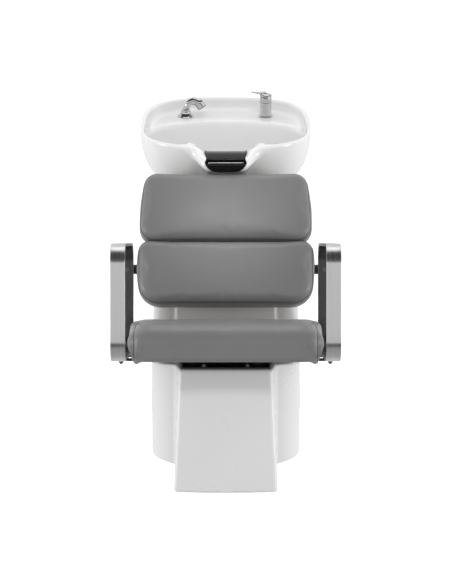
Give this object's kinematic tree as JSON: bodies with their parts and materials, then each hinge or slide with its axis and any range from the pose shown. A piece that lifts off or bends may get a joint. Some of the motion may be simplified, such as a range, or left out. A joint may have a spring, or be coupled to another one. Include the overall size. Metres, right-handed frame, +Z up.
{
  "type": "shampoo backwash unit",
  "caption": "Salon backwash unit: grey padded seat and back with flat-steel arm loops, white base, tilting ceramic bowl with mixer, hand shower and neck rest.",
  "frame": {"origin": "on the floor under the middle of the unit's length and width", "axes": "+Z up, -Y the way the sitter faces, +X to the sitter's left (the right-hand side seen from the front)"},
  "size_m": [0.618, 1.1066, 1.0155],
  "materials": {
    "fibreglass": "semi-gloss white gelcoat",
    "glaze": "white glazed ceramic",
    "silicone": "glossy black silicone",
    "vinyl": "mid-grey upholstery vinyl, fine grain",
    "plywood": "bare plywood",
    "brushed": "brushed along its length",
    "black_steel": "satin black powder coat",
    "grey_steel": "grey primer",
    "chrome": "polished",
    "zinc": "zinc plated",
    "brass": "plain",
    "black_plastic": "moulded, matt",
    "white_plastic": "moulded, matt",
    "hose": "braided steel sleeve"
  },
  "bodies": {
    "base": {"base_shell": "fibreglass", "service_cover": "fibreglass", "service_cover_screws": "zinc", "frame_foot_plates": "grey_steel", "frame_rails": "grey_steel", "frame_cross_ties": "grey_steel", "frame_seat_plate": "grey_steel", "frame_front_posts": "grey_steel", "frame_rear_posts": "grey_steel", "frame_top_plate": "grey_steel", "tilt_bracket": "black_steel", "tilt_pins": "zinc", "seat_bracket": "black_steel", "seat_bracket_bolts": "zinc", "seat_bracket_screws": "zinc", "seat_board": "plywood", "seat_cushion": "vinyl", "arm_loop_left": "brushed", "arm_loop_right": "brushed", "arm_brackets": "black_steel", "arm_bracket_screws": "zinc", "arm_bolts": "zinc", "back_cross_tube": "black_steel", "back_tube_caps": "black_plastic", "back_tube_straps": "black_steel", "back_struts": "black_steel", "back_screws": "zinc", "back_lower_board": "plywood", "back_lower_cushion": "vinyl", "back_upper_board": "plywood", "back_upper_cushion": "vinyl"},
    "bowl": {"bowl": "glaze", "neck_rest": "silicone", "drain_flange": "chrome", "drain_nut": "brass", "waste_spigot": "white_plastic", "tilt_cradle": "black_steel", "mixer_base_ring": "chrome", "mixer_body": "chrome", "mixer_nut": "brass", "mixer_outlet": "brass", "shower_holder": "chrome", "shower_holder_nut": "brass", "spray_hose": "hose"},
    "mixer_hub": {"mixer_hub": "chrome", "mixer_hinge_pin": "zinc"},
    "mixer_lever": {"mixer_lever": "chrome"},
    "hand_shower": {"shower_handle": "chrome", "shower_face": "black_plastic", "spray_hose_riser": "hose"},
    "strainer": {"strainer": "chrome"}
  },
  "joints": [
    {"name": "bowl_tilt", "type": "hinge", "parent": "base", "child": "bowl", "pos_m": [0, 0.378, 0.668], "axis": [-1, 0, 0], "range_deg": [0, 10]},
    {"name": "mixer_turn", "type": "hinge", "parent": "bowl", "child": "mixer_hub", "pos_m": [0.125, 0.45234, 0.98772], "axis": [0, -0.2267, 0.974], "range_deg": [-50, 50]},
    {"name": "mixer_lift", "type": "hinge", "parent": "mixer_hub", "child": "mixer_lever", "pos_m": [0.139, 0.44985, 0.99843], "axis": [0, 0.974, 0.2267], "range_deg": [0, 25]},
    {"name": "shower_lift", "type": "slide", "parent": "bowl", "child": "hand_shower", "axis": [0, -0.2267, 0.974], "range_m": [0, 0.1]},
    {"name": "strainer_lift", "type": "slide", "parent": "bowl", "child": "strainer", "axis": [0, -0.2267, 0.974], "range_m": [0, 0.06]}
  ]
}
